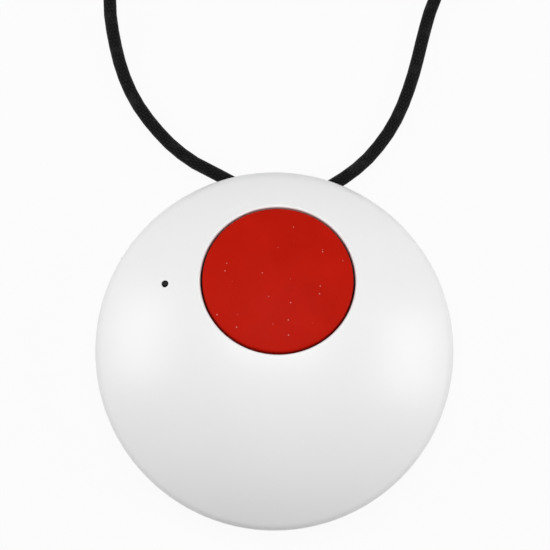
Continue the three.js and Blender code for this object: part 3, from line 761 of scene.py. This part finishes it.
def back_cover():
    """Dished back with its battery opening, screw seats and the lanyard bridge."""
    back = new_piece("back_cover_dish", turned(back_profile(), 240))
    bridge = lanyard_bridge()
    boolean(back, mesh_of(bridge), "UNION")
    bpy.data.objects.remove(bridge)
    well_r, well_top = 14.44 * MM, 6.05 * MM
    pillar_r, pillar_top = 3.2 * MM, 6.3 * MM
    rest_r, rest_top, rest_circle = 1.2 * MM, 6.9 * MM, 20.2 * MM
    raised = [rod(well_r, FUSE_Z, well_top, steps=96)]
    raised += [rod(pillar_r, FUSE_Z, pillar_top, px, py) for px, py in screw_spots()]
    raised += [rod(rest_r, FUSE_Z, rest_top, px, py) for px, py in ring_spots(rest_circle, (30, 150, -90))]
    for post in raised:
        boolean(back, post, "UNION")
    boolean(back, battery_opening_tool())
    for angle in (90, 210, 330):
        boolean(back, sector(10.6 * MM, 12.6 * MM, angle, 36, 2.2 * MM, 4 * MM))
    for px, py in screw_spots():
        boolean(back, screw_seat_tool(px, py))
        boolean(back, rod(SCREW_HOLE_R, 1 * MM, 8 * MM, px, py))
    for side in (-1, 1):
        boolean(back, pocket_tool(side))
    boolean(back, tunnel_tool())
    shade(back, CUT_EDGE)
    return back


def battery_opening_tool():
    """Recess for the door's plate, the throat in the ledge, and the well round the cell."""
    low, high = -1 * MM, 9 * MM
    recess_r, recess_top, ease = 13 * MM, 2.7 * MM, 0.3 * MM
    throat_r, ledge_top, well_r = 11.6 * MM, 3.5 * MM, 12.6 * MM
    return turned([
        (0, low), (recess_r + ease, low), (recess_r + ease, 0), (recess_r, ease), (recess_r, recess_top),
        (throat_r, recess_top), (throat_r, ledge_top), (well_r, ledge_top), (well_r, high), (0, high),
    ], 128)


def screw_seat_tool(x, y):
    """Counterbore for a screw's head, its mouth eased."""
    radius, deep, ease, low = 2.1 * MM, 2.1 * MM, 0.25 * MM, -1 * MM
    bm = turned([
        (0, deep), (radius, deep), (radius, ease), (radius + ease, 0), (radius + ease, low), (0, low),
    ], 48)
    bmesh.ops.translate(bm, vec=(x, y, 0), verts=bm.verts)
    return bm


def sector(inner, outer, middle, width, low, high):
    """Part of a ring, turned from its upright end."""
    bm = bmesh.new()
    bmesh.ops.create_grid(bm, x_segments=1, y_segments=1, size=0.5)
    bmesh.ops.scale(bm, vec=(outer - inner, high - low, 1), verts=bm.verts)
    bmesh.ops.rotate(bm, cent=(0, 0, 0), matrix=Matrix.Rotation(math.pi / 2, 3, "X"), verts=bm.verts)
    bmesh.ops.translate(bm, vec=((inner + outer) / 2, 0, (low + high) / 2), verts=bm.verts)
    start = Matrix.Rotation(math.radians(middle - width / 2), 3, "Z")
    bmesh.ops.rotate(bm, cent=(0, 0, 0), matrix=start, verts=bm.verts)
    first = bmesh.ops.duplicate(bm, geom=bm.verts[:] + bm.edges[:] + bm.faces[:])
    moving = [item for item in first["geom"] if isinstance(item, (bmesh.types.BMVert, bmesh.types.BMFace))]
    bmesh.ops.spin(
        bm, geom=[f for f in moving if isinstance(f, bmesh.types.BMFace)], cent=(0, 0, 0), axis=(0, 0, 1),
        angle=math.radians(width), steps=16,
    )
    bmesh.ops.remove_doubles(bm, verts=bm.verts, dist=TOUCH)
    bmesh.ops.recalc_face_normals(bm, faces=bm.faces)
    return bm


def pocket_tool(side):
    """Finger pocket beside the bridge, its upright corners rounded."""
    near, far, deep, long = 3 * MM, 12 * MM, 21.5 * MM, 10 * MM
    low, high = -1 * MM, 4 * MM
    bm = block((far - near, long, high - low), ((near + far) / 2, deep + long / 2, (low + high) / 2))
    for at, radius, segments in ((far, 2.7 * MM, 10), (near, 1 * MM, 6)):
        corner = [
            edge for edge in bm.edges
            if all(v.co.y < deep + MM and abs(v.co.x - at) < MM for v in edge.verts)
        ]
        rounded(bm, corner, radius, segments)
    if side < 0:
        bmesh.ops.scale(bm, vec=(-1, 1, 1), verts=bm.verts)
    bmesh.ops.recalc_face_normals(bm, faces=bm.faces)
    return bm


def tunnel_tool():
    """Hole for the cord through the bridge, flared at both mouths."""
    r, half = 1.5 * MM, 3 * MM
    flare = 0.5 * MM
    profile = [(0, -half - MM), (r + flare, -half - MM), (r + flare, -half)]
    profile += arc(r + flare, -half + flare, flare, -90, -180, 6)[1:]
    profile += arc(r + flare, half - flare, flare, 180, 90, 6)
    profile += [(r + flare, half + MM), (0, half + MM)]
    bm = turned(profile, 48)
    place = Matrix.Translation((0, TUNNEL_Y, TUNNEL_Z)) @ Matrix.Rotation(math.pi / 2, 4, "Y")
    bmesh.ops.transform(bm, matrix=place, verts=bm.verts)
    return bm


# Button and its seal

def post_low():
    """Lower end of the button's post, a gap above the switch plunger, in the button's own frame."""
    above = PLUNGER_TOP + GAP + POST_R * math.sin(TILT)
    return -(BUTTON_AT.z - above) / math.cos(TILT)


def emergency_button():
    """Crowned cap, skirt and flange in one piece, with ribs and the post that works the switch."""
    inside = DOME_R - BUTTON_T
    skirt = CAP_R - SKIRT_T
    neck = CAP_R - GAP
    edge = CAP_R - BUTTON_EDGE
    meet = math.degrees(math.acos(edge / (DOME_R - BUTTON_EDGE)))
    corner = (DOME_R - BUTTON_EDGE) * math.sin(math.radians(meet)) - DOME_R

    def under(r):
        return (r, math.sqrt(inside * inside - r * r) - DOME_R)

    low = post_low()
    profile = [(0, low), (POST_R, low), under(POST_R)]
    profile += [under(POST_R + (skirt - POST_R) * k / 6) for k in range(1, 7)]
    profile += [
        (skirt, FLANGE_LOW), (FLANGE_R, FLANGE_LOW), (FLANGE_R, FLANGE_TOP), (neck, FLANGE_TOP),
        (neck, LIP_Z), (CAP_R, LIP_Z), *arc(edge, corner, BUTTON_EDGE, 0, meet, 8),
        *arc(0, -DOME_R, DOME_R, meet, 90, 30)[1:-1], (0, 0),
    ]
    cap = new_piece("emergency_button_cap", turned(profile, 192))
    rib_low = (low - BUTTON_T) / 2
    rib_high = -BUTTON_T + 0.1 * MM
    for turn in (0, math.pi / 2):
        size = (2 * skirt + SKIRT_T / 2, RIB_T, rib_high - rib_low)
        rib = block(size, (0, 0, (rib_low + rib_high) / 2))
        bmesh.ops.rotate(rib, cent=(0, 0, 0), matrix=Matrix.Rotation(turn, 3, "Z"), verts=rib.verts)
        boolean(cap, rib, "UNION")
    cap.data.transform(ON_DOME)
    shade(cap, CUT_EDGE)
    return cap


def ring_profile(inner, outer, low, high, ease):
    """Section of a ring with rounded corners."""
    corners = (
        (outer - ease, high - ease, 90), (outer - ease, low + ease, 0),
        (inner + ease, low + ease, -90), (inner + ease, high - ease, 180),
    )
    return [point for r, z, start in corners for point in arc(r, z, ease, start, start - 90, 4)]


def button_seal():
    """Soft ring between the flange and the lip."""
    profile = ring_profile(CAP_R + 0.05 * MM, FLANGE_R, SEAL_TOP - SEAL_T, SEAL_TOP, 0.2 * MM)
    bm = turned(profile, 128, closed=True)
    bmesh.ops.transform(bm, matrix=ON_DOME, verts=bm.verts)
    return new_piece("button_seal_ring", bm, 60)


def light_guide():
    """Rod under the light's hole, with a nose that ends just below the dome."""
    x, y, _ = LIGHT_AT
    r, low, ease = LIGHT_PIPE_R, 9.4 * MM, 0.2 * MM
    surface = dome_height(x, y)
    top = surface - LIGHT_SKIN - GAP
    nose, nose_top = LIGHT_HOLE_R - 0.03 * MM, surface - 0.12 * MM
    profile = [
        (0, low), (0.7 * r, low), (r, low + 0.5 * MM), *arc(r - ease, top - ease, ease, 0, 90, 5),
        (nose, top), (nose, nose_top - 0.1 * MM), (0.8 * nose, nose_top - 0.04 * MM),
        (0.45 * nose, nose_top), (0, nose_top),
    ]
    bm = turned(profile, 48)
    bmesh.ops.translate(bm, vec=(x, y, 0), verts=bm.verts)
    return new_piece("light_pipe_guide", bm, 40)


# Battery door, cover screws and gasket

def battery_door():
    """Bayonet door: plate with an eased edge, neck with three lugs, and a coin slot."""
    low, top, plate_r, ease = 0.3 * MM, 1.5 * MM, 12.7 * MM, 0.35 * MM
    neck_r, neck_in, neck_top = 11.3 * MM, 10.3 * MM, 4.6 * MM
    profile = [
        (0, low), (plate_r - ease, low), *arc(plate_r - ease, low + ease, ease, -90, 0, 6)[1:],
        (plate_r, top), (neck_r, top), (neck_r, neck_top), (neck_in, neck_top), (neck_in, top), (0, top),
    ]
    door = new_piece("battery_door_plate", turned(profile, 128))
    for angle in (135, 255, 15):
        boolean(door, sector(10.9 * MM, 12.3 * MM, angle, 30, 3.8 * MM, neck_top), "UNION")
    slot = block((15 * MM, 2 * MM, 1.6 * MM), (0, 0, 0.1 * MM))
    upright = [edge for edge in slot.edges if abs((edge.verts[0].co - edge.verts[1].co).z) > MM]
    rounded(slot, upright, 0.6 * MM, 6)
    boolean(door, slot)
    angles = [side * (108 + 8 * k) for side in (-1, 1) for k in range(5)]
    for px, py in ring_spots(10.8 * MM, angles):
        boolean(door, rod(0.35 * MM, -0.5 * MM, 0.5 * MM, px, py, steps=16))
    shade(door, CUT_EDGE)
    return door


def rubber_ring(name, inner, outer, low, high):
    """Moulded ring with fully rounded corners."""
    profile = ring_profile(inner, outer, low, high, min(outer - inner, high - low) * 0.35)
    return new_piece(name, turned(profile, 160, closed=True), 60)


def cover_screw(index, x, y):
    """Cylinder head with an eased edge and a cross recess, and the threaded shank."""
    head, shank, ease = 1.8 * MM, 0.9 * MM, 0.35 * MM
    low, seat, thread_low, tip = 0.3 * MM, 1.8 * MM, 6.4 * MM, 10.2 * MM
    pitch, root = 0.5 * MM, shank - 0.2 * MM
    profile = [(0, low), (head - ease, low), *arc(head - ease, low + ease, ease, -90, 0, 5)[1:]]
    profile += [(head, seat), (shank, seat), (shank, thread_low)]
    z = thread_low
    while z < tip - 1.2 * MM:
        profile += [(shank, z + 0.1 * MM), (root, z + 0.3 * MM), (root, z + 0.4 * MM)]
        z += pitch
    profile += [(shank, tip - 0.7 * MM), (shank * 0.4, tip), (0, tip)]
    screw = new_piece(f"cover_screw_{index}_cross", turned(profile, 40))
    for turn in (0, math.pi / 2):
        bit = block((2.2 * MM, 0.5 * MM, 1.8 * MM))
        deep = [v for v in bit.verts if v.co.z > 0]
        bmesh.ops.scale(bit, vec=(0.55, 0.8, 1), verts=deep)
        bmesh.ops.rotate(bit, cent=(0, 0, 0), matrix=Matrix.Rotation(turn, 3, "Z"), verts=bit.verts)
        bmesh.ops.translate(bit, vec=(0, 0, 0.2 * MM), verts=bit.verts)
        boolean(screw, bit)
    screw.data.transform(Matrix.Translation((x, y, 0)) @ Matrix.Rotation(0.6 * index, 4, "Z"))
    shade(screw, CUT_EDGE)
    return screw


def screw_steel():
    finish = Finish("plated_screw_steel", 0.3, 1.0)
    finish.mottle(600, 3, (0.42, 0.43, 0.45), (0.6, 0.61, 0.63))
    finish.drift(2500, 0.22, 0.42, detail=3)
    finish.grain(1800, 0.15, 0.03 * MM, detail=3)
    return finish.material


def dress(piece, material, body, node):
    piece.data.materials.clear()
    piece.data.materials.append(material)
    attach(piece, body)
    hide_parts(node)


shell_white = moulded_white("white_shell_plastic", (0.875, 0.878, 0.875), 0.32, 0.1)
back_white = moulded_white("white_back_plastic", (0.86, 0.865, 0.86), 0.4, 0.2)
door_white = moulded_white("white_door_plastic", (0.8, 0.81, 0.8), 0.45, 0.25)
plated_steel = screw_steel()
grey_rubber = silicone("grey_silicone_rubber", (0.09, 0.095, 0.1))

dress(front_cover(), shell_white, "housing", "front_cover")
dress(back_cover(), back_white, "housing", "back_cover")
dress(emergency_button(), button_red(), "button", "emergency_button")
dress(button_seal(), silicone("black_silicone_rubber", (0.012, 0.011, 0.011)), "button", "button_seal")
dress(light_guide(), smoked_plastic(), "housing", "light_pipe")
dress(battery_door(), door_white, "battery_door", "battery_door")
for number, spot in enumerate(screw_spots(), 1):
    dress(cover_screw(number, *spot), plated_steel, "housing", f"cover_screw_{number}")
dress(
    rubber_ring("cover_gasket_ring", 24.4 * MM, 25.4 * MM, 5.3 * MM, 5.9 * MM),
    grey_rubber, "housing", "cover_gasket",
)
dress(
    rubber_ring("battery_door_seal_ring", 11.6 * MM, 12.4 * MM, 1.8 * MM, 2.4 * MM),
    grey_rubber, "battery_door", "battery_door_seal",
)


# Finishes of the pieces inside, which stay as the solids have them

def laminate():
    """Solder resist over glass cloth, with the pale lines of tracks under it."""
    finish = Finish("green_solder_resist", 0.35)
    split = finish.nodes.new("ShaderNodeSeparateXYZ")
    finish.link(finish.place, split.inputs["Vector"])
    threads = 2 * math.pi / (0.5 * MM)
    weave_x = finish.math("SINE", finish.math("MULTIPLY", split.outputs["X"], threads))
    weave_y = finish.math("SINE", finish.math("MULTIPLY", split.outputs["Y"], threads))
    weave = finish.math("MULTIPLY", weave_x, weave_y)
    cells = finish.nodes.new("ShaderNodeTexVoronoi")
    cells.feature = "DISTANCE_TO_EDGE"
    cells.distance = "EUCLIDEAN"
    cells.inputs["Scale"].default_value = 330
    finish.link(finish.place, cells.inputs["Vector"])
    track = finish.span(cells.outputs["Distance"], 0.03, 0.05, 1, 0)
    resist = finish.ramp(
        finish.span(weave, -1, 1, 0, 1), [(0.0, (0.008, 0.07, 0.03)), (1.0, (0.011, 0.09, 0.04))],
    )
    finish.color(finish.mix(track, resist, (0.02, 0.16, 0.07)))
    finish.bump(track, 0.3, 0.05 * MM)
    return finish.material


def metal(name, dark, light, roughness, grain):
    """Plated or drawn metal, its grain running along X."""
    finish = Finish(name, roughness, 1.0)
    lines = finish.noise(1, 4, vector=finish.stretched((120, 2600, 2600)))
    finish.color(finish.ramp(lines, [(0.3, dark), (0.7, light)]))
    finish.roughness(finish.span(lines, 0.3, 0.7, roughness - 0.06, roughness + 0.08))
    finish.bump(lines, grain, 0.02 * MM)
    return finish.material


def ceramic():
    finish = Finish("tan_ceramic", 0.55)
    finish.mottle(2200, 4, (0.3, 0.19, 0.1), (0.4, 0.27, 0.15))
    finish.grain(5000, 0.2, 0.02 * MM)
    return finish.material


def resin():
    finish = Finish("cast_lamp_resin", 0.25)
    finish.mottle(1200, 2, (0.72, 0.69, 0.5), (0.82, 0.8, 0.62))
    finish.grain(3000, 0.1, 0.02 * MM)
    return finish.material


package_black = hard_black("chip_package", 0.014, 0.55)
plated = metal("tinned_steel", (0.5, 0.51, 0.53), (0.66, 0.67, 0.69), 0.3, 0.15)
leaf = metal("spring_strip", (0.5, 0.43, 0.27), (0.66, 0.58, 0.38), 0.32, 0.2)
tan_ceramic = ceramic()
inside = {
    "circuit_board": laminate(),
    "switch_base": package_black,
    "switch_frame": plated,
    "switch_plunger": package_black,
    "controller_chip": package_black,
    "radio_chip": package_black,
    "crystal": plated,
    "status_led": resin(),
    "antenna_coil": metal("enamelled_copper", (0.5, 0.17, 0.06), (0.72, 0.3, 0.13), 0.28, 0.1),
    **{f"capacitor_{number}": tan_ceramic for number in range(1, 5)},
    **{f"resistor_{number}": package_black for number in range(1, 4)},
    "battery_contact_negative": leaf,
    "battery_contact_positive": leaf,
    "coin_cell": plated,
}
for node, material in inside.items():
    for material_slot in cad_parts[node].material_slots:
        material_slot.material = material


# Floor, lamps and world

FLOOR_WHITE = 0.93
FLOOR_GREY = 0.62
FLOOR_DROP = 0.02 * MM
AMBIENT = 0.2


def seen_by_eye(nodes, links):
    """1 for camera, mirror and glass rays, 0 for the light that falls on the object."""
    path = nodes.new("ShaderNodeLightPath")
    total = nodes.new("ShaderNodeMath")
    total.operation = "MAXIMUM"
    links.new(path.outputs["Is Camera Ray"], total.inputs[0])
    links.new(path.outputs["Is Glossy Ray"], total.inputs[1])
    both = nodes.new("ShaderNodeMath")
    both.operation = "MAXIMUM"
    links.new(total.outputs["Value"], both.inputs[0])
    links.new(path.outputs["Is Transmission Ray"], both.inputs[1])
    return both.outputs["Value"]


def pale_floor():
    """Wide white sheet that keeps the object's shadow."""
    bm = bmesh.new()
    bmesh.ops.create_grid(bm, x_segments=8, y_segments=8, size=3)
    bmesh.ops.translate(bm, vec=(0, 0, -FLOOR_DROP), verts=bm.verts)
    floor = new_piece("floor", bm)
    material = bpy.data.materials.new("pale_floor")
    material.use_nodes = True
    nodes, links = material.node_tree.nodes, material.node_tree.links
    shader = nodes["Principled BSDF"]
    shader.inputs["Base Color"].default_value = (FLOOR_GREY, FLOOR_GREY, FLOOR_GREY, 1)
    shader.inputs["Roughness"].default_value = 0.9
    glow = nodes.new("ShaderNodeEmission")
    glow.inputs["Color"].default_value = (1, 1, 1, 1)
    blend = nodes.new("ShaderNodeMixShader")
    part = nodes.new("ShaderNodeMath")
    part.operation = "MULTIPLY"
    part.inputs[1].default_value = FLOOR_WHITE
    links.new(seen_by_eye(nodes, links), part.inputs[0])
    links.new(part.outputs["Value"], blend.inputs["Fac"])
    links.new(shader.outputs["BSDF"], blend.inputs[1])
    links.new(glow.outputs["Emission"], blend.inputs[2])
    links.new(blend.outputs["Shader"], nodes["Material Output"].inputs["Surface"])
    floor.data.materials.append(material)


def softbox(name, azimuth, elevation, distance, width, height, watts):
    """Area lamp aimed at the body, angles in degrees, azimuth from +X towards +Y, sizes in metres."""
    lamp = bpy.data.lights.new(name, "AREA")
    lamp.shape = "RECTANGLE"
    lamp.size = width
    lamp.size_y = height
    lamp.energy = watts
    ob = bpy.data.objects.new(name, lamp)
    bpy.context.scene.collection.objects.link(ob)
    a, e = math.radians(azimuth), math.radians(elevation)
    away = Vector((math.cos(e) * math.cos(a), math.cos(e) * math.sin(a), math.sin(e)))
    ob.location = away * distance + Vector((0, 0, 10 * MM))
    ob.rotation_euler = away.to_track_quat("Z", "Y").to_euler()


def studio_world():
    world = bpy.data.worlds.new("studio")
    bpy.context.scene.world = world
    world.use_nodes = True
    nodes, links = world.node_tree.nodes, world.node_tree.links
    ambient = nodes["Background"]
    ambient.inputs["Color"].default_value = (1, 1, 1, 1)
    ambient.inputs["Strength"].default_value = AMBIENT
    white = nodes.new("ShaderNodeBackground")
    white.inputs["Color"].default_value = (1, 1, 1, 1)
    white.inputs["Strength"].default_value = 1
    blend = nodes.new("ShaderNodeMixShader")
    links.new(seen_by_eye(nodes, links), blend.inputs["Fac"])
    links.new(ambient.outputs["Background"], blend.inputs[1])
    links.new(white.outputs["Background"], blend.inputs[2])
    links.new(blend.outputs["Shader"], nodes["World Output"].inputs["Surface"])


pale_floor()
softbox("lamp_above", azimuth=90, elevation=76, distance=0.7, width=0.5, height=0.4, watts=2.95)
softbox("lamp_left", azimuth=176, elevation=24, distance=0.5, width=0.3, height=0.25, watts=0.8)
softbox("lamp_right", azimuth=2, elevation=24, distance=0.5, width=0.3, height=0.25, watts=0.84)
studio_world()
bpy.context.scene.view_settings.view_transform = "Standard"
